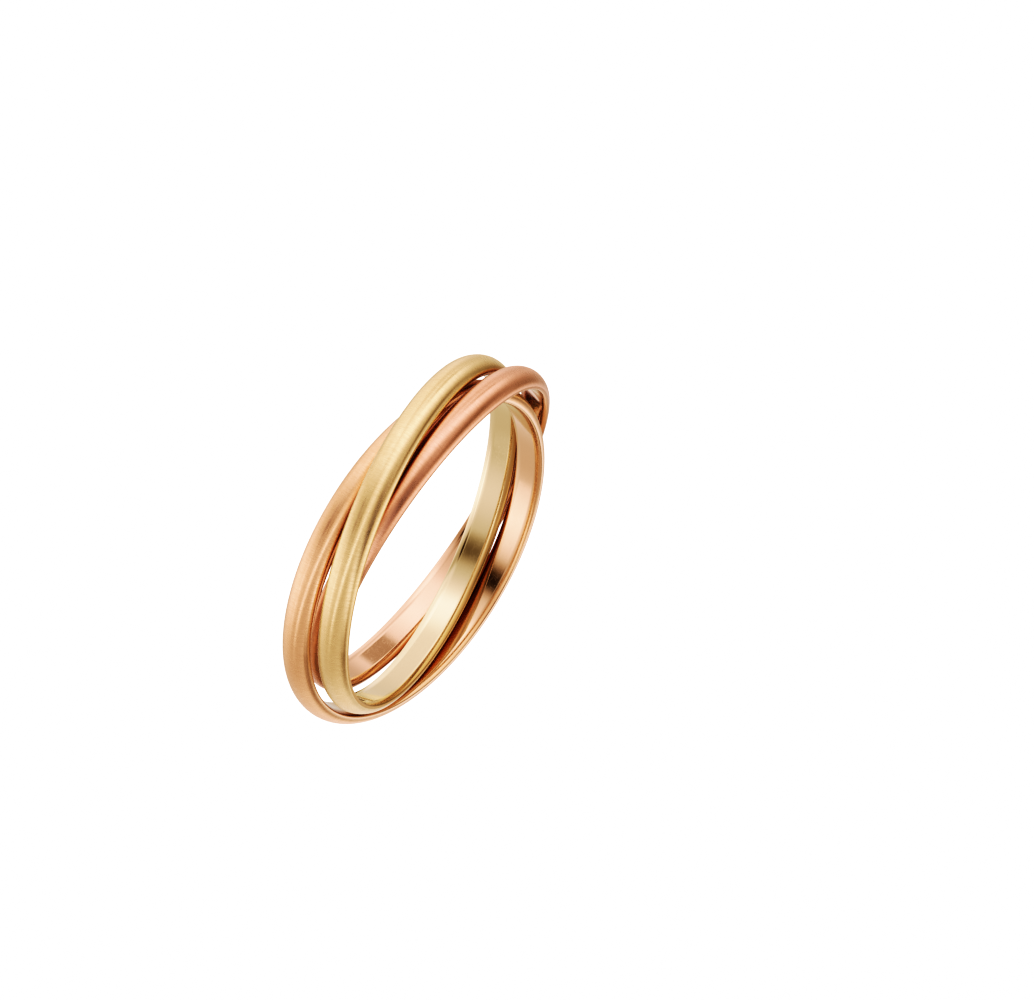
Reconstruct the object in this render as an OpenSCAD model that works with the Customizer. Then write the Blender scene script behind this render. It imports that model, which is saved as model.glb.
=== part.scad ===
// Wedding ring of three interlocked bands, lying on its side as it rests by itself.
// Each band passes through the other two. Units are millimetres, +Z is up, and the
// origin is on the surface that the ring lies on, at the middle of the ring.

/* [Band] */
// Inside diameter of each band
inner_d = 19.6; // [17:0.1:22]
// Width of a band along its own axis
band_w = 1.85; // [1.75:0.05:1.9]
// Thickness of a band's wall at its crown
wall = 0.92; // [0.88:0.01:0.95]
// Width of the flat middle of the inner face
flat_w = 0.9; // [0.6:0.05:1.1]
// Radius of the gentle arcs that ease the inner face towards its edges
ease_r = 0.9; // [0.8:0.05:1.5]
// Radius of the edges themselves
edge_r = 0.12; // [0.08:0.01:0.16]
// Radius of the domed crown as a share of half the width
crown_share = 1.2; // [1.15:0.05:1.4]

/* [Yellow band] */
// Direction in which the band is pushed aside, in degrees
yellow_side = 258; // [250:0.5:265]
// Distance by which it is pushed aside
yellow_shift = 0.72; // [0.6:0.01:0.9]
// Slope of the band against the surface, in degrees
yellow_tilt = 8; // [7:0.1:8.5]
// Turn of its slope from the direction it is pushed in, in degrees
yellow_turn = 4.5; // [-5:0.5:6]

/* [Apricot band] */
// Direction in which the band is pushed aside, in degrees
apricot_side = 7; // [5:0.5:20]
// Distance by which it is pushed aside
apricot_shift = 0.88; // [0.7:0.01:1]
// Slope of the band against the surface, in degrees
apricot_tilt = 7.9; // [7:0.1:8.5]
// Turn of its slope from the direction it is pushed in, in degrees
apricot_turn = -4.5; // [-8:0.5:5]

/* [Rose band] */
// Direction in which the band is pushed aside, in degrees
rose_side = 141; // [135:0.5:150]
// Distance by which it is pushed aside
rose_shift = 0.83; // [0.7:0.01:0.95]
// Slope of the band against the surface, in degrees
rose_tilt = 6.7; // [6.7:0.1:8.5]
// Turn of its slope from the direction it is pushed in, in degrees
rose_turn = 3; // [-5:0.5:5]

/* [Hidden] */
$fn = 180;

// columns: side, shift, tilt, turn
YELLOW = [yellow_side, yellow_shift, yellow_tilt, yellow_turn];
APRICOT = [apricot_side, apricot_shift, apricot_tilt, apricot_turn];
ROSE = [rose_side, rose_shift, rose_tilt, rose_turn];
ALL = [YELLOW, APRICOT, ROSE];

half_w = band_w / 2;
flat_half = flat_w / 2;
// Turn of an easing arc between the flat and the edge, and the height where it ends
ease_turn = asin((half_w - edge_r - flat_half) / (ease_r - edge_r));
ease_end = flat_half + ease_r * sin(ease_turn);
// Depth from the inner face to the circle where the band is widest
edge_in = ease_r - (ease_r - edge_r) * cos(ease_turn);
// The section is measured from that circle
wide_r = inner_d / 2 + edge_in;
dome_h = wall - edge_in;
crown_r = crown_share * half_w;
crown_mid = dome_h - crown_r;
// The shoulder arc touches the crown arc and the band's side
shoulder_r = (crown_r ^ 2 - crown_mid ^ 2 - half_w ^ 2) / (2 * (crown_r - half_w));
shoulder_mid = half_w - shoulder_r;
// Height at which the shoulder arcs meet the crown arc
join_h = -crown_mid * shoulder_r / (crown_r - shoulder_r);

// The axis of a band that lies at a place
function band_axis(p) = [
    sin(p[2]) * sin(p[0] + p[3]),
    -sin(p[2]) * cos(p[0] + p[3]),
    cos(p[2])
];
// Height of a band's middle when its lowest point touches the surface
function lift(p) = wide_r * sin(p[2]) + shoulder_mid * cos(p[2]) + shoulder_r;
// Place of a band's middle, before the ring is centred
function middle(p) = [p[1] * cos(p[0]), p[1] * sin(p[0]), lift(p)];
// How far a band reaches from its middle along X (0) or Y (1)
function reach(p, i) = (wide_r + crown_mid) * sqrt(1 - band_axis(p)[i] ^ 2) + crown_r;
// Middle of the whole ring's extent along X (0) or Y (1)
function ring_mid(i) = (max([for (p = ALL) middle(p)[i] + reach(p, i)])
                      + min([for (p = ALL) middle(p)[i] - reach(p, i)])) / 2;

// A block of the section's plane, centred across the band
module block(low, high, width) {
    translate([low, -width / 2])
        square([high - low, width]);
}

// Two equal circles at a depth, one on each side of the band's middle plane
module circle_pair(depth, height, r) {
    for (side = [-1, 1])
        translate([depth, side * height])
            circle(r = r);
}

// Section of a band: domed outside, flat inside with eased and rounded edges
module section() {
    // crown
    intersection() {
        translate([crown_mid, 0])
            circle(r = crown_r);
        block(join_h, dome_h, 2 * band_w);
    }
    // shoulders
    intersection() {
        union() {
            circle_pair(0, shoulder_mid, shoulder_r);
            block(0, join_h, 2 * shoulder_mid);
        }
        block(0, join_h, 2 * band_w);
    }
    // inner face
    intersection() {
        union() {
            block(-edge_in, 0, flat_w);
            intersection() {
                circle_pair(ease_r - edge_in, flat_half, ease_r);
                block(-edge_in, 0, 2 * ease_end);
            }
            circle_pair(0, half_w - edge_r, edge_r);
        }
        block(-edge_in, 0, 2 * band_w);
    }
}

// One band, laid at its place among the others
module band(p) {
    translate([-ring_mid(0), -ring_mid(1), 0])
        translate(middle(p))
            rotate([0, 0, p[0] + p[3]])
                rotate([p[2], 0, 0])
                    rotate_extrude()
                        translate([wide_r, 0])
                            section();
}

module yellow_band() {
    color([0.85, 0.75, 0.44])
        band(YELLOW);
}

module apricot_band() {
    color([0.90, 0.69, 0.48])
        band(APRICOT);
}

module rose_band() {
    color([0.84, 0.58, 0.48])
        band(ROSE);
}

yellow_band();
apricot_band();
rose_band();
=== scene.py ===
"""Looks of a wedding ring made of three interlocked gold bands, lying on a pale surface."""

import math

import bpy
import numpy as np
from mathutils import Matrix, Vector


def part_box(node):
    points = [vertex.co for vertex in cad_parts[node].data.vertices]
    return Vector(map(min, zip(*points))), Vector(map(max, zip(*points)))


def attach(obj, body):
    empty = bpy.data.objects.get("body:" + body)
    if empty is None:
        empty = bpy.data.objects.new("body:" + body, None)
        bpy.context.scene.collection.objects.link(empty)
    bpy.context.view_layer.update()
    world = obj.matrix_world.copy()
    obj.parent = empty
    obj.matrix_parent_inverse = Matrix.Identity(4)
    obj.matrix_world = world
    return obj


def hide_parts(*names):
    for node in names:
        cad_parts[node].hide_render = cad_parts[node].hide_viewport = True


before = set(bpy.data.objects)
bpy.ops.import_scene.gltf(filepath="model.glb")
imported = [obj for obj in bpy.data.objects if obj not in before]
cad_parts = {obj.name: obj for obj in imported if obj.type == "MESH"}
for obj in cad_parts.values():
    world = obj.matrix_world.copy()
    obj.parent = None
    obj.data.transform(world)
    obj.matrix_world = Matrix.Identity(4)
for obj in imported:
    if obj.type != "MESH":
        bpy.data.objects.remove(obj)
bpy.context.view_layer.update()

MM = 0.001

# The photograph: its size in pixels, the ring's middle in it, and the real size of a pixel there
PHOTO_W = 1034
PHOTO_H = 1000
RING_X = 421.1
RING_Y = 538.2
PIXEL = 0.056 * MM
# How the camera looks at the ring: above its plane, and how far the ring's axis leans over in the picture
CAMERA_RISE = math.radians(19.6)
CAMERA_ROLL = math.radians(120.6)
# The camera's distance in those pixels, its sensor, and how near and far it sees
CAMERA_PIXELS = 12000
SENSOR = 36.0
CAMERA_NEAR = 0.01
CAMERA_FAR = 10.0
# The point of the model that shows as the ring's middle
RING_MIDDLE = Vector((-0.125, 0.112, 2.234)) * MM

# A band's section: half the flat of its inner face, the arcs that ease it to the edges, the edges, the crown
FLAT_HALF = 0.45 * MM
EASE_R = 0.9 * MM
EDGE_R = 0.12 * MM
CROWN_SHARE = 1.2
# The polish reaches over the band's side by this turn of its shoulder
POLISH_END = math.radians(12)
# Steps round a band, and along each part of half its section
AROUND = 360
CROWN_STEPS = 9
SHOULDER_STEPS = 8
POLISHED_STEPS = 3
EDGE_STEPS = 8
EASE_STEPS = 8
FLAT_STEPS = 3
# How close a point lies to the inner face of the CAD band, or to the flat of a section, to count as on it
INSIDE_NEAR = 0.006 * MM
FLAT_NEAR = 0.001 * MM

# Pieces: CAD node, body, record slot, name of the finished band
BANDS = [
    ("yellow_band", "yellow", "yellow_gold", "yellow_gold_band"),
    ("apricot_band", "apricot", "apricot_gold", "apricot_gold_band"),
    ("rose_band", "rose", "rose_gold", "rose_gold_band"),
]

# Reflected colour of each gold, linear, satin outside and polished inside
GOLDS = {
    "yellow_gold": ((0.96, 0.675, 0.415), (0.91, 0.69, 0.475)),
    "apricot_gold": ((1.00, 0.60, 0.40), (0.92, 0.585, 0.41)),
    "rose_gold": ((0.96, 0.52, 0.375), (0.92, 0.56, 0.405)),
}
# What a deeper patch of an alloy takes from its colour, and how much of that each finish shows
DEEPER_GOLD = (0.80, 0.66, 0.44)
SATIN_PATCHES = 0.2
POLISH_PATCHES = 0.1
# Painted shade on a band's upper rim: what it takes from its gold where it eases off and along its edge. The
# apricot's edge is a painted highlight
PAINTED_RIM_SHADING = {
    "yellow_gold": ((0.64, 0.50, 0.31), (0.70, 0.52, 0.28)),
    "apricot_gold": ((0.84, 0.76, 0.64), (1.06, 1.10, 1.14)),
    "rose_gold": ((0.80, 0.65, 0.45), (0.62, 0.45, 0.24)),
}
# Where the two painted tones come in, as shares of the way over the rim
EASED_SPAN = (0.0, 0.5)
EDGE_SPAN = (0.6, 0.78)
# Colour of a gold that is seen in another gold. It is paler, so that a crevice isn't too red
GOLD_IN_GOLD = (0.88, 0.77, 0.56)
# Painted shade in a crevice between two bands: what it takes from their colour, and how far from a neighbour
# it begins
PAINTED_CREVICE_SHADE = (0.55, 0.26, 0.08)
CREVICE_REACH = 0.6 * MM
# How often the painted shade is taken at its deepest, how open that place is, how open a place without it is,
# and the rays that measure it
CREVICE_DEPTH = 1.3
CREVICE_CLOSED = 0.12
CREVICE_OPEN = 0.95
CREVICE_RAYS = 6

# The satin: roughness between its clusters of lines and in them, what a line adds, what wear takes, how far
# its gloss is stretched round the band, what the lines take from the colour, their strength and depth
SATIN_ROUGHNESS = (0.25, 0.28)
LINE_ROUGHNESS = 0.04
WORN_SMOOTHING = 0.08
SATIN_STRETCH = 0.75
LINE_SHADE = (0.90, 0.88, 0.84)
LINE_STRENGTH = 0.4
LINE_DEPTH = 0.0008 * MM
# The polish: roughness between its smears and in them, what a scratch and the rim add, where on the rim, and
# the strength and depth of the scratches
POLISH_ROUGHNESS = (0.06, 0.12)
SCRATCH_ROUGHNESS = 0.10
RIM_ROUGHNESS = 0.12
RIM_SPAN = (0.2, 0.8)
SCRATCH_STRENGTH = 0.25
SCRATCH_DEPTH = 0.001 * MM

# The studio: its even light, its rise towards straight up and down, the least light of a flag, and the
# pale wall and floor that the camera sees
ROOM_LEVEL = 0.52
ROOM_RISE = 0.14
DARKEST = 0.04
WALL_LEVEL = 1.3
FLOOR_LEVEL = 1.25
FLOOR_HALF = 1.5
# Soft lights, and dark flags with a brightness below 0. Columns: name, azimuth from the camera's side towards
# the right, height, half width, half height, roll (degrees), softness of the edge, brightness.
# These numbers are a program's fit to the photograph, rounded. Only the brightness of back_low_flag, and the
# rows of lens_spot_flag and lens_low_flag, were set apart from the fit
LIGHTS = [
    ("back_top", -170, 55, 14, 31, 5, 0.6, 0.45),
    ("right_top", 60, 55, 31, 9, 25, 0.6, 0.60),
    ("left_arc_flag", -95, 45, 31, 11, 55, 0.9, -0.40),
    ("front_top_flag", 0, 55, 11, 25, -35, 0.8, -0.60),
    ("back_right_flag", 130, 50, 28, 13, -15, 0.5, -0.40),
    ("left_box", -65, 0, 57, 21, 5, 0.7, 0.70),
    ("right_low_box", 75, -55, 42, 18, -50, 0.9, 0.50),
    ("lens_flag", -5, -35, 16, 34, 15, 0.4, -0.20),
    ("back_low_flag", -170, -50, 44, 22, -35, 0.6, -0.15),
    ("back_box", 155, 0, 28, 22, -25, 0.7, 0.40),
    ("front_right_box", 45, 5, 39, 6, -15, 0.3, 0.60),
    ("left_low_box", -70, -55, 54, 24, 10, 0.2, 0.40),
    ("back_left_flag", -140, 10, 16, 28, 30, 0.7, -0.30),
    ("left_side_flag", -85, -10, 19, 5, 5, 0.8, -0.30),
    ("lens_spot_flag", 9, -13, 8, 6, 0, 0.7, -0.38),
    ("lens_low_flag", 13, -32, 9, 7, 0, 0.6, -0.42),
    ("left_lens_flag", -95, -10, 16, 3, 5, 0.3, -0.45),
    ("left_low_lamp", -35, -30, 19, 14, 55, 0.5, 0.20),
    ("right_low_lamp", 60, -35, 24, 4, 10, 0.1, 0.20),
]

# Tint of the light by its level: brown flags, white room, cool lamps
LIGHT_TINT = [
    (0.0, (1.0, 0.50, 0.16)), (0.15, (1.0, 0.80, 0.42)), (0.30, (1.0, 0.96, 0.66)), (0.50, (1.0, 0.98, 0.86)),
    (0.68, (1.0, 1.0, 1.0)), (0.90, (1.0, 1.01, 1.04)), (1.20, (1.0, 1.08, 1.20)),
]

# The camera's contrast: darker darks and eased highlights, as pairs of scene and picture level. It began as a
# program's fit to the photograph, which it still follows from 0.32 to 0.81. The rest was changed after it
CONTRAST = [
    (0.0, 0.0), (0.05, 0.012), (0.10, 0.038), (0.15, 0.08), (0.20, 0.14), (0.25, 0.215), (0.32, 0.33),
    (0.40, 0.457), (0.515, 0.60), (0.65, 0.745), (0.81, 0.87), (1.0, 0.955), (1.25, 1.0),
]

# Types of the groups' sockets
FLOAT = "NodeSocketFloat"
VECTOR = "NodeSocketVector"
COLOR = "NodeSocketColor"


# Small helpers for node trees

def add(tree, kind, at, **values):
    """A node of this kind at a place in its tree, with its properties."""
    node = tree.nodes.new(kind)
    node.location = at
    for name, value in values.items():
        setattr(node, name, value)
    return node


def feed(tree, socket, value):
    """Links another node's output to an input socket, or sets the socket to a plain value."""
    if isinstance(value, bpy.types.NodeSocket):
        tree.links.new(value, socket)
    else:
        socket.default_value = value


def put(tree, node, **values):
    """Feeds a node's input sockets by name, with _ for a space."""
    for name, value in values.items():
        feed(tree, node.inputs[name.replace("_", " ")], value)
    return node


def maths(tree, operation, a, b=None, at=(0, 0)):
    """A Math node on one or two values, giving its output socket."""
    node = add(tree, "ShaderNodeMath", at, operation=operation)
    feed(tree, node.inputs[0], a)
    if b is not None:
        feed(tree, node.inputs[1], b)
    return node.outputs[0]


def spread(tree, value, low, high, to_low, to_high, at):
    """Takes low..high to to_low..to_high, easing in and out and stopping there, giving its output socket."""
    node = add(tree, "ShaderNodeMapRange", at, interpolation_type="SMOOTHSTEP")
    put(tree, node, Value=value, From_Min=low, From_Max=high, To_Min=to_low, To_Max=to_high)
    return node.outputs["Result"]


def blend(tree, factor, a, b, at, blend_type="MIX"):
    """Mixes two colours, giving the output socket."""
    node = add(tree, "ShaderNodeMix", at, data_type="RGBA", blend_type=blend_type)
    put(tree, node, Factor=factor, A=a, B=b)
    return node.outputs["Result"]


def noise(tree, place, at, **values):
    """Noise at a place, giving its output socket."""
    node = add(tree, "ShaderNodeTexNoise", at)
    put(tree, node, Vector=place, **values)
    return node.outputs["Fac"]


def new_group(name, inputs, outputs):
    """A shader node group with input sockets (name, type, default) and output sockets (name, type).
    Gives the group, what its inputs hand over, and its output node."""
    group = bpy.data.node_groups.new(name, "ShaderNodeTree")
    for socket_name, kind, default in inputs:
        socket = group.interface.new_socket(socket_name, in_out="INPUT", socket_type=kind)
        if default is not None:
            socket.default_value = default
    for socket_name, kind in outputs:
        group.interface.new_socket(socket_name, in_out="OUTPUT", socket_type=kind)
    start = add(group, "NodeGroupInput", (-900, 0))
    end = add(group, "NodeGroupOutput", (700, 0))
    return group, start.outputs, end


def use_group(tree, group, at, **values):
    """Places a group in a tree and feeds its inputs."""
    node = add(tree, "ShaderNodeGroup", at, node_tree=group)
    return put(tree, node, **values)


# The effects that the golds share

def stretched_noise(tree, place, pitch, length, at, detail=2.0):
    """Noise of one pitch round the band and another length across it."""
    x, y = at
    split = add(tree, "ShaderNodeSeparateXYZ", at)
    feed(tree, split.inputs[0], place)
    join = add(tree, "ShaderNodeCombineXYZ", (x + 340, y))
    for index, step in enumerate((pitch, pitch, length)):
        part = maths(tree, "DIVIDE", split.outputs[index], step, (x + 170, y - 60 * index))
        feed(tree, join.inputs[index], part)
    return noise(tree, join.outputs[0], (x + 510, y), Scale=1.0, Detail=detail, Roughness=0.55)


def cross_brushing_group():
    """Fine lines brushed across a band, in clusters as a brush leaves them."""
    group, given, end = new_group(
        "cross_brushing",
        [("Place", VECTOR, None), ("Pitch", FLOAT, 0.045 * MM), ("Length", FLOAT, 0.45 * MM),
         ("Cluster", FLOAT, 0.6 * MM)],
        [("Lines", FLOAT), ("Clusters", FLOAT)],
    )
    fine = stretched_noise(group, given["Place"], given["Pitch"], given["Length"], (-700, 200), 1.0)
    wide = stretched_noise(group, given["Place"], given["Cluster"], given["Length"], (-700, -200))
    lines = spread(group, fine, 0.2, 0.8, 0.0, 1.0, (50, 200))
    clusters = spread(group, wide, 0.35, 0.65, 0.0, 1.0, (50, -200))
    put(group, end, Lines=lines, Clusters=clusters)
    return group


def rubbed_edges_group():
    """Where a band's satin is worn smooth by its neighbours: 1 at its sides, broken up by noise."""
    group, given, end = new_group(
        "rubbed_edges",
        [("Place", VECTOR, None), ("Across", FLOAT, 0.0), ("From", FLOAT, 0.6), ("To", FLOAT, 1.0),
         ("Patch", FLOAT, 1.5 * MM)],
        [("Worn", FLOAT)],
    )
    side = maths(group, "ABSOLUTE", given["Across"], at=(-600, 200))
    rubbed = spread(group, side, given["From"], given["To"], 0.0, 1.0, (-400, 200))
    patch = stretched_noise(group, given["Place"], given["Patch"], given["Patch"], (-700, -200))
    broken = spread(group, patch, 0.3, 0.7, 0.55, 1.0, (50, -200))
    put(group, end, Worn=maths(group, "MULTIPLY", rubbed, broken, (400, 0)))
    return group


def hairlines_group():
    """Sparse hair scratches that wander over a polished face, and soft smears between them."""
    group, given, end = new_group(
        "hairlines",
        [("Place", VECTOR, None), ("Spacing", FLOAT, 0.6 * MM), ("Thin", FLOAT, 0.012)],
        [("Scratches", FLOAT), ("Smears", FLOAT)],
    )
    scale = add(group, "ShaderNodeVectorMath", (-700, 200), operation="DIVIDE")
    feed(group, scale.inputs[0], given["Place"])
    feed(group, scale.inputs[1], given["Spacing"])
    place = scale.outputs[0]
    wander = noise(group, place, (-500, 200), Scale=1.0, Detail=2.0, Roughness=0.4, Distortion=1.5)
    off = maths(group, "SUBTRACT", wander, 0.5, (-300, 200))
    near = maths(group, "ABSOLUTE", off, at=(-120, 200))
    scratch = add(group, "ShaderNodeMapRange", (60, 200))
    put(group, scratch, Value=near, From_Min=0.0, From_Max=given["Thin"], To_Min=1.0, To_Max=0.0)
    cloud = noise(group, place, (-500, -150), Scale=0.35, Detail=3.0, Roughness=0.5)
    smears = spread(group, cloud, 0.35, 0.68, 0.0, 1.0, (60, -150))
    put(group, end, Scratches=scratch.outputs["Result"], Smears=smears)
    return group


def gold_tone_group():
    """A gold's colour, a little deeper in patches, as an alloy and its finish vary."""
    group, given, end = new_group(
        "gold_tone",
        [("Place", VECTOR, None), ("Gold", COLOR, (1, 1, 1, 1)), ("Depth", FLOAT, 0.1),
         ("Patch", FLOAT, 3.0 * MM)],
        [("Color", COLOR)],
    )
    patch = stretched_noise(group, given["Place"], given["Patch"], given["Patch"], (-700, -200))
    amount = maths(group, "MULTIPLY", patch, given["Depth"], (100, -100))
    put(group, end, Color=blend(group, amount, given["Gold"], (*DEEPER_GOLD, 1.0), (450, 0), "MULTIPLY"))
    return group


def painted_rim_shading_group():
    """Painted shade that the upper rim takes from the gold, paler where a colour is over 1. The rim is 0
    where it begins, 1 at the satin.
    """
    group, given, end = new_group(
        "painted_rim_shading",
        [("Rim", FLOAT, 0.0), ("Eased", COLOR, (1, 1, 1, 1)), ("Edge", COLOR, (1, 1, 1, 1))],
        [("Tone", COLOR)],
    )
    tone = (1.0, 1.0, 1.0, 1.0)
    for index, (name, span) in enumerate((("Eased", EASED_SPAN), ("Edge", EDGE_SPAN))):
        share = spread(group, given["Rim"], *span, 0.0, 1.0, (-600, 300 - 300 * index))
        tone = blend(group, share, tone, given[name], (-300 + 300 * index, 0))
    put(group, end, Tone=tone)
    return group


def painted_crevice_shade_group():
    """Painted shade on a colour: deeper where a neighbouring band stands close, and unchanged in the open."""
    group, given, end = new_group(
        "painted_crevice_shade",
        [("Color", COLOR, (1, 1, 1, 1)), ("Tone", COLOR, (0.3, 0.2, 0.1, 1)),
         ("Reach", FLOAT, CREVICE_REACH)],
        [("Color", COLOR)],
    )
    near = add(group, "ShaderNodeAmbientOcclusion", (-600, 100), samples=CREVICE_RAYS)
    put(group, near, Distance=given["Reach"])
    depth = spread(group, near.outputs["AO"], CREVICE_CLOSED, CREVICE_OPEN, CREVICE_DEPTH, 0.0, (-300, 100))
    deeper = add(group, "ShaderNodeGamma", (-50, 100))
    put(group, deeper, Color=given["Tone"], Gamma=depth)
    put(group, end, Color=blend(group, 1.0, given["Color"], deeper.outputs["Color"], (200, 0), "MULTIPLY"))
    return group


CROSS_BRUSHING = cross_brushing_group()
RUBBED_EDGES = rubbed_edges_group()
HAIRLINES = hairlines_group()
GOLD_TONE = gold_tone_group()
PAINTED_RIM_SHADING_GROUP = painted_rim_shading_group()
PAINTED_CREVICE_SHADE_GROUP = painted_crevice_shade_group()


# The golds

def new_metal(name, second):
    """A material with a metal shader. Gives its band's place and a second attribute of the band too."""
    material = bpy.data.materials.new(name)
    material.use_nodes = True
    tree = material.node_tree
    shader = put(tree, tree.nodes["Principled BSDF"], Metallic=1.0)
    place = add(tree, "ShaderNodeAttribute", (-1300, 200), attribute_name="ring_place")
    other = add(tree, "ShaderNodeAttribute", (-1300, -100), attribute_name=second)
    return material, tree, shader, place.outputs["Vector"], other.outputs["Fac"]


def gold_colour(tree, place, gold, depth, share, shade):
    """A gold's varied colour with its shade, paler where another gold mirrors it, and with painted shade in a
    crevice.
    """
    tone = use_group(tree, GOLD_TONE, (-700, 400), Place=place, Gold=(*gold, 1.0), Depth=depth)
    shaded = blend(tree, share, tone.outputs["Color"], shade, (-400, 400), "MULTIPLY")
    path = add(tree, "ShaderNodeLightPath", (-400, 700))
    colour = blend(tree, path.outputs["Is Glossy Ray"], shaded, (*GOLD_IN_GOLD, 1.0), (-150, 400))
    # Painted shade in a crevice, by how near a neighbouring band stands
    painted_crevice_shade = use_group(tree, PAINTED_CREVICE_SHADE_GROUP, (50, 400), Color=colour, Tone=(*PAINTED_CREVICE_SHADE, 1.0))
    return painted_crevice_shade.outputs["Color"]


def bumped(tree, height, strength, depth):
    """The normal of a surface with this fine relief."""
    bump = add(tree, "ShaderNodeBump", (-300, -250))
    put(tree, bump, Strength=strength, Distance=depth, Height=height)
    return bump.outputs["Normal"]


def satin_gold(gold):
    """The outside of a band: brushed across, smoother where the bands rub."""
    material, tree, shader, place, across = new_metal(gold + "_satin", "across")
    brushing = use_group(tree, CROSS_BRUSHING, (-1000, 200), Place=place)
    lines = brushing.outputs["Lines"]
    colour = gold_colour(tree, place, GOLDS[gold][0], SATIN_PATCHES, lines, (*LINE_SHADE, 1.0))
    worn = use_group(tree, RUBBED_EDGES, (-1000, -100), Place=place, Across=across)
    base = spread(tree, brushing.outputs["Clusters"], 0.0, 1.0, *SATIN_ROUGHNESS, (-700, 100))
    fine = maths(tree, "MULTIPLY", lines, LINE_ROUGHNESS, (-700, -100))
    rough = maths(tree, "ADD", base, fine, (-500, 0))
    less = maths(tree, "MULTIPLY", worn.outputs["Worn"], WORN_SMOOTHING, (-500, -200))
    total = maths(tree, "SUBTRACT", rough, less, (-300, 0))
    round_band = add(tree, "ShaderNodeTangent", (-300, -500), direction_type="UV_MAP", uv_map="UVMap")
    put(tree, shader, Base_Color=colour, Roughness=total, Anisotropic=SATIN_STRETCH)
    normal = bumped(tree, lines, LINE_STRENGTH, LINE_DEPTH)
    put(tree, shader, Tangent=round_band.outputs["Tangent"], Normal=normal)
    return material


def polished_gold(gold):
    """The inside and the rims of a band: polished, with hair scratches and faint smears."""
    material, tree, shader, place, rim = new_metal(gold + "_polished", "rim")
    # The upper rim is darkened by painted shade, and the apricot's edge is paled by a painted highlight
    eased, edge = PAINTED_RIM_SHADING[gold]
    tone = use_group(tree, PAINTED_RIM_SHADING_GROUP, (-1000, 500), Rim=rim, Eased=(*eased, 1.0), Edge=(*edge, 1.0))
    colour = gold_colour(tree, place, GOLDS[gold][1], POLISH_PATCHES, 1.0, tone.outputs["Tone"])
    hair = use_group(tree, HAIRLINES, (-1000, 100), Place=place)
    scratches = hair.outputs["Scratches"]
    smears = spread(tree, hair.outputs["Smears"], 0.0, 1.0, *POLISH_ROUGHNESS, (-700, 100))
    lines = maths(tree, "MULTIPLY", scratches, SCRATCH_ROUGHNESS, (-700, -100))
    rough = maths(tree, "ADD", smears, lines, (-500, 0))
    soft = spread(tree, rim, *RIM_SPAN, 0.0, RIM_ROUGHNESS, (-700, -250))
    total = maths(tree, "ADD", rough, soft, (-350, 0))
    normal = bumped(tree, scratches, SCRATCH_STRENGTH, SCRATCH_DEPTH)
    put(tree, shader, Base_Color=colour, Roughness=total, Normal=normal)
    return material


# The bands

def least_spread(vectors):
    """The direction along which vectors spread least, pointing up."""
    axis = np.linalg.eigh(vectors.T @ vectors)[1][:, 0]
    return axis * np.sign(axis[2])


def band_frame(node):
    """A CAD band's middle, its directions as rows (two across it, then its axis), and its inner radius, outer
    radius and half width."""
    low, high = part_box(node)
    middle = np.array((Vector(low) + Vector(high)) / 2)
    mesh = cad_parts[node].data
    points = np.array([vertex.co[:] for vertex in mesh.vertices]) - middle
    axis = least_spread(np.array([face.normal * math.sqrt(face.area) for face in mesh.polygons]))
    # The flat inside ends in two circles, which give the axis and the middle more closely
    across = np.linalg.norm(np.cross(points, axis), axis=1)
    inside = points[across < across.min() + INSIDE_NEAR]
    sides = (inside[inside @ axis > 0], inside[inside @ axis < 0])
    circles = [np.unique(side.round(7), axis=0) for side in sides]
    axis = sum(least_spread(circle - circle.mean(axis=0)) for circle in circles)
    axis /= np.linalg.norm(axis)
    shift = sum(circle.mean(axis=0) for circle in circles) / 2
    middle += shift
    points -= shift
    first = np.cross((0.0, 1.0, 0.0), axis)
    first /= np.linalg.norm(first)
    second = np.cross(axis, first)
    across = np.linalg.norm(np.cross(points, axis), axis=1)
    return middle, np.array([first, second, axis]), (across.min(), across.max(), abs(points @ axis).max())


def arc(mid_r, mid_z, radius, start, stop, steps):
    """Points and normals of an arc of the section, each (radius, height, outward radius, outward height)."""
    turns = np.linspace(start, stop, steps + 1)
    c, s = np.cos(turns), np.sin(turns)
    return [(mid_r + radius * a, mid_z + radius * b, a, b) for a, b in zip(c, s)]


def half_section(inner_r, outer_r, half_w):
    """The upper half of a band's section, from its crown round to the middle of its inner face.
    Gives its points with their normals, and the point where the satin ends."""
    ease_turn = math.asin((half_w - EDGE_R - FLAT_HALF) / (EASE_R - EDGE_R))
    wide_r = inner_r + EASE_R - (EASE_R - EDGE_R) * math.cos(ease_turn)
    crown_r = CROWN_SHARE * half_w
    crown_mid = outer_r - wide_r - crown_r
    shoulder_r = (crown_r ** 2 - crown_mid ** 2 - half_w ** 2) / (2 * (crown_r - half_w))
    shoulder_mid = half_w - shoulder_r
    join = math.atan2(shoulder_mid, -crown_mid)
    quarter = math.pi / 2
    satin_end = quarter - POLISH_END
    points = arc(wide_r + crown_mid, 0.0, crown_r, 0.0, join, CROWN_STEPS)
    points += arc(wide_r, shoulder_mid, shoulder_r, join, satin_end, SHOULDER_STEPS)[1:]
    end = len(points) - 1
    points += arc(wide_r, shoulder_mid, shoulder_r, satin_end, quarter, POLISHED_STEPS)[1:]
    points += arc(wide_r, half_w - EDGE_R, EDGE_R, quarter, math.pi - ease_turn, EDGE_STEPS)[1:]
    points += arc(inner_r + EASE_R, FLAT_HALF, EASE_R, math.pi - ease_turn, math.pi, EASE_STEPS)[1:]
    points += [(inner_r, h, -1.0, 0.0) for h in np.linspace(FLAT_HALF, 0.0, FLAT_STEPS + 1)[1:]]
    return points, end


def around(turns, across, height):
    """Carries each point of a section, at its distance from the axis and height, round the axis."""
    x = np.outer(np.cos(turns), across).ravel()
    y = np.outer(np.sin(turns), across).ravel()
    z = np.tile(height, len(turns))
    return np.stack([x, y, z], axis=1)


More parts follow.
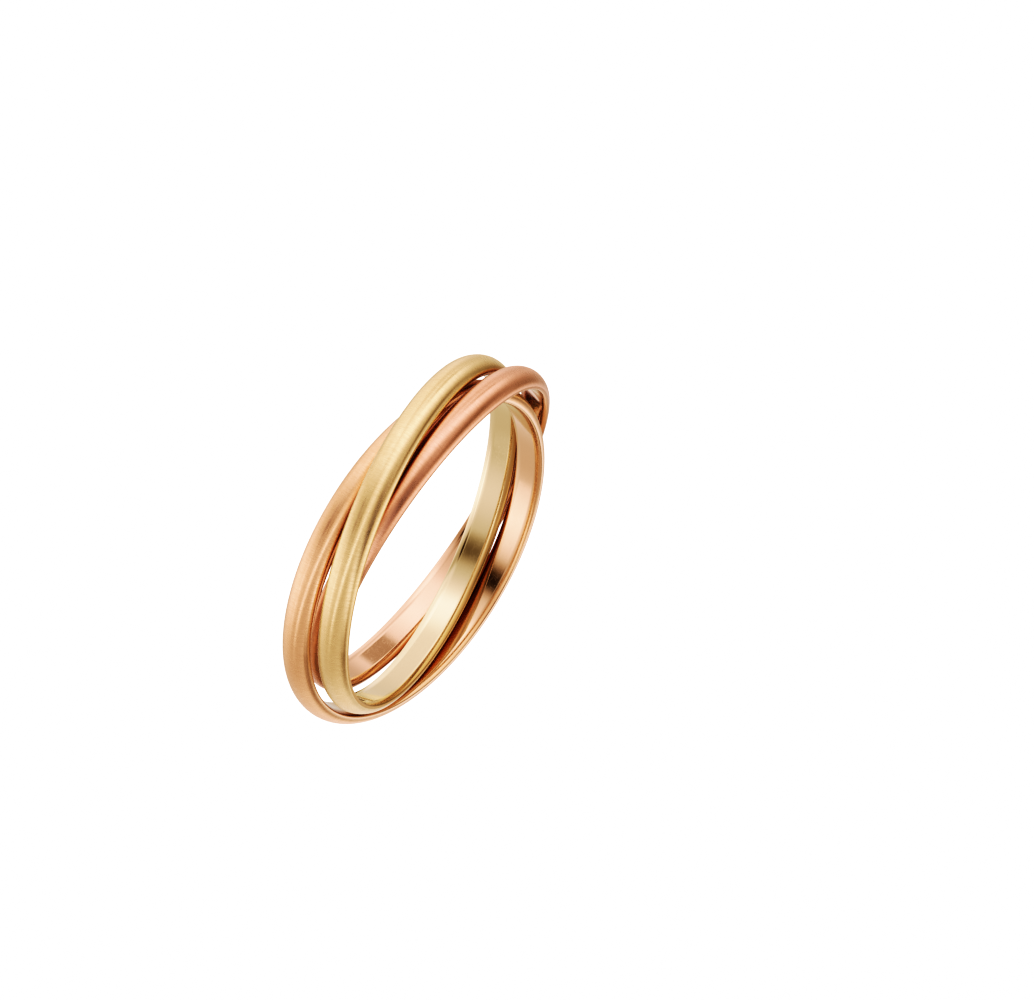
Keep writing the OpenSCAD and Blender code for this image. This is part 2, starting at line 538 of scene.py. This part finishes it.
def upper_rim(r, h, end):
    """How far each point of a section is over the upper rim: 0 at the flat inner face, 1 at the satin."""
    flat = end + np.flatnonzero(h[end:] < FLAT_HALF + FLAT_NEAR)[0]
    steps = np.hypot(np.diff(r[end:flat + 1]), np.diff(h[end:flat + 1]))
    rim = np.zeros(len(r))
    rim[end:flat + 1] = 1.0 - np.append(0.0, np.cumsum(steps)) / steps.sum()
    return rim


def turned_faces(count):
    """Quads between the points of a section of this many points, carried round the axis."""
    faces = []
    for i in range(AROUND):
        here, after = i * count, (i + 1) % AROUND * count
        for j in range(count):
            k = (j + 1) % count
            faces.append((here + j, after + j, after + k, here + k))
    return faces


def turned_uv(count):
    """Texture corners of those quads: along U round the band, along V round its section."""
    corners = []
    for i in range(AROUND):
        left, right = i / AROUND, (i + 1) / AROUND
        for j in range(count):
            low, high = j / count, (j + 1) / count
            corners += [left, low, right, low, right, high, left, high]
    return corners


def put_on_points(mesh, name, values):
    """Gives each point of a mesh its value, or its row of three values, under a name."""
    if values.ndim == 2:
        mesh.attributes.new(name, "FLOAT_VECTOR", "POINT").data.foreach_set("vector", values.ravel())
    else:
        mesh.attributes.new(name, "FLOAT", "POINT").data.foreach_set("value", values)


def turned_band(name, node, satin, polished):
    """One band turned as quads round its axis, satin outside and polished inside."""
    middle, lay, (inner_r, outer_r, half_w) = band_frame(node)
    upper, end = half_section(inner_r, outer_r, half_w)
    lower = [(r, -h, a, -b) for r, h, a, b in upper[1:-1]]
    r, h, a, b = np.array(upper + lower[::-1]).T
    count = len(r)
    turns = np.arange(AROUND) * 2 * math.pi / AROUND
    mesh = bpy.data.meshes.new(name)
    mesh.from_pydata((around(turns, r, h) @ lay).tolist(), [], turned_faces(count))
    mesh.materials.append(satin)
    mesh.materials.append(polished)
    finish = [0 if j < end or j >= count - end else 1 for j in range(count)]
    mesh.polygons.foreach_set("material_index", finish * AROUND)
    mesh.shade_smooth()
    mesh.normals_split_custom_set_from_vertices((around(turns, a, b) @ lay).tolist())
    put_on_points(mesh, "ring_place", around(turns, np.full(count, outer_r), h))
    put_on_points(mesh, "across", np.tile(h / half_w, AROUND))
    put_on_points(mesh, "rim", np.tile(upper_rim(r, h, end), AROUND))
    mesh.uv_layers.new(name="UVMap").data.foreach_set("uv", turned_uv(count))
    band = bpy.data.objects.new(name, mesh)
    bpy.context.scene.collection.objects.link(band)
    band.matrix_world = Matrix.Translation(middle)
    return band


def make_bands():
    """Turns each band in its own gold and sets it on its CAD body."""
    for node, body, gold, name in BANDS:
        band = turned_band(name, node, satin_gold(gold), polished_gold(gold))
        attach(band, body)
        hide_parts(node)


# Studio: floor, light and camera

def pale_floor():
    """A wide pale table under the ring, which glows so that it shows white.
    The bands don't mirror it, and it adds no painted crevice shade where they stand on it."""
    mesh = bpy.data.meshes.new("pale_floor")
    corners = [(x * FLOOR_HALF, y * FLOOR_HALF, 0) for x, y in ((-1, -1), (1, -1), (1, 1), (-1, 1))]
    mesh.from_pydata(corners, [], [(0, 1, 2, 3)])
    material = bpy.data.materials.new("pale_floor")
    material.use_nodes = True
    tree = material.node_tree
    shader = tree.nodes["Principled BSDF"]
    put(tree, shader, Base_Color=(0.5, 0.5, 0.5, 1.0), Roughness=0.9, Specular_IOR_Level=0.0)
    put(tree, shader, Emission_Color=(1.0, 1.0, 1.0, 1.0), Emission_Strength=FLOOR_LEVEL)
    mesh.materials.append(material)
    floor = bpy.data.objects.new("pale_floor", mesh)
    bpy.context.scene.collection.objects.link(floor)
    floor.visible_glossy = False
    floor.visible_shadow = False


def soft_light_group():
    """Adds to a light level what one soft-edged light gives, or one dark flag takes.
    A place is seen from the light: 1 away at the light's edge."""
    group, given, end = new_group(
        "soft_light",
        [("Light", FLOAT, 0.0), ("Place", VECTOR, None), ("Inner", FLOAT, 0.5), ("Outer", FLOAT, 1.5),
         ("Brightness", FLOAT, 0.5)],
        [("Light", FLOAT)],
    )
    away = add(group, "ShaderNodeVectorMath", (-650, 100), operation="LENGTH")
    feed(group, away.inputs[0], given["Place"])
    inner, outer, brightness = given["Inner"], given["Outer"], given["Brightness"]
    fade = spread(group, away.outputs["Value"], inner, outer, brightness, 0.0, (-400, 100))
    put(group, end, Light=maths(group, "ADD", fade, given["Light"], (0, 0)))
    return group


def light_frame(azimuth, height, roll):
    """A light's direction from the ring, and the turn that carries Z to it."""
    ground = math.cos(height)
    toward = Vector((math.sin(azimuth) * ground, -math.cos(azimuth) * ground, math.sin(height)))
    level = Vector((math.cos(azimuth), math.sin(azimuth), 0.0))
    upright = toward.cross(level)
    across = math.cos(roll) * level + math.sin(roll) * upright
    along = math.cos(roll) * upright - math.sin(roll) * level
    return toward, Matrix((across, along, toward)).transposed().to_euler()


def room_light(tree, where, x):
    """The level of the room's light in each direction: even, then with each soft light and dark flag."""
    split = add(tree, "ShaderNodeSeparateXYZ", (-900, 300))
    feed(tree, split.inputs[0], where)
    steep = maths(tree, "ABSOLUTE", split.outputs["Z"], at=(-900, 150))
    more = maths(tree, "MULTIPLY", steep, ROOM_RISE, (-900, 0))
    light = maths(tree, "ADD", more, ROOM_LEVEL, (-750, 0))
    soft_light = soft_light_group()
    for index, (name, *angles, softness, brightness) in enumerate(LIGHTS):
        azimuth, height, half_w, half_h, roll = map(math.radians, angles)
        toward, turn = light_frame(azimuth, height, roll)
        seen = add(tree, "ShaderNodeMapping", (-700 + 200 * index, -300), vector_type="TEXTURE")
        put(tree, seen, Vector=where, Location=toward, Rotation=turn, Scale=(half_w, half_h, 1.0))
        node = use_group(tree, soft_light, (-600 + 200 * index, 0), Light=light, Place=seen.outputs["Vector"])
        put(tree, node, Inner=1 - softness, Outer=1 + softness, Brightness=brightness)
        node.label = name
        light = node.outputs["Light"]
    return maths(tree, "MAXIMUM", light, DARKEST, (x, 0))


def tint(tree, level, x):
    """The tint of a light of this level."""
    brightest = LIGHT_TINT[-1][0]
    ramp = add(tree, "ShaderNodeValToRGB", (x + 400, 300))
    stops = ramp.color_ramp.elements
    for index, (at_level, colour) in enumerate(LIGHT_TINT):
        stop = stops[index] if index < 2 else stops.new(1.0)
        stop.position = at_level / brightest
        stop.color = (*colour, 1.0)
    put(tree, ramp, Fac=maths(tree, "DIVIDE", level, brightest, (x + 200, 300)))
    return ramp.outputs["Color"]


def studio_light():
    """An even pale room with soft lights and dark flags. The camera sees only its pale wall."""
    world = bpy.data.worlds.new("studio")
    bpy.context.scene.world = world
    world.use_nodes = True
    tree = world.node_tree
    x = -500 + 200 * len(LIGHTS)
    where = add(tree, "ShaderNodeTexCoord", (-900, 0))
    path = add(tree, "ShaderNodeLightPath", (x, -200))
    shown = add(tree, "ShaderNodeMix", (x + 200, 0))
    level = room_light(tree, where.outputs["Generated"], x)
    put(tree, shown, Factor=path.outputs["Is Camera Ray"], A=level, B=WALL_LEVEL)
    room = tree.nodes["Background"]
    put(tree, room, Color=tint(tree, shown.outputs["Result"], x), Strength=shown.outputs["Result"])
    room.location = (x + 700, 0)
    tree.nodes["World Output"].location = (x + 900, 0)


def photo_camera():
    """The photograph's view: above the ring's plane, rolled as the ring leans in the picture."""
    look = Vector((0.0, math.cos(CAMERA_RISE), -math.sin(CAMERA_RISE)))
    level_right = Vector((1.0, 0.0, 0.0))
    level_up = Vector((0.0, math.sin(CAMERA_RISE), math.cos(CAMERA_RISE)))
    right = math.cos(CAMERA_ROLL) * level_right + math.sin(CAMERA_ROLL) * level_up
    up = math.cos(CAMERA_ROLL) * level_up - math.sin(CAMERA_ROLL) * level_right
    stand = RING_MIDDLE - look * CAMERA_PIXELS * PIXEL
    aim = RING_MIDDLE + (PHOTO_W / 2 - RING_X) * PIXEL * right - (PHOTO_H / 2 - RING_Y) * PIXEL * up
    towards = (aim - stand).normalized()
    side = towards.cross(up).normalized()
    above = side.cross(towards)
    data = bpy.data.cameras.new("photo_camera")
    data.sensor_width = SENSOR
    data.lens = SENSOR * CAMERA_PIXELS / PHOTO_W
    data.clip_start = CAMERA_NEAR
    data.clip_end = CAMERA_FAR
    camera = bpy.data.objects.new("photo_camera", data)
    bpy.context.scene.collection.objects.link(camera)
    turn = Matrix((side, above, -towards)).transposed().to_4x4()
    camera.matrix_world = Matrix.Translation(stand) @ turn
    bpy.context.scene.camera = camera


def photo_contrast():
    """The picture's contrast curve."""
    view = bpy.context.scene.view_settings
    view.view_transform = "Standard"
    view.use_curve_mapping = True
    mapping = view.curve_mapping
    mapping.extend = "HORIZONTAL"
    top = CONTRAST[-1][0]
    mapping.clip_max_x = top
    mapping.clip_max_y = top
    for channel in mapping.curves[:3]:
        channel.points[1].location = (top, top)
    curve = mapping.curves[3].points
    curve[0].location = CONTRAST[0]
    curve[1].location = CONTRAST[-1]
    for point in CONTRAST[1:-1]:
        curve.new(*point)
    mapping.update()


photo_contrast()
make_bands()
pale_floor()
studio_light()
photo_camera()
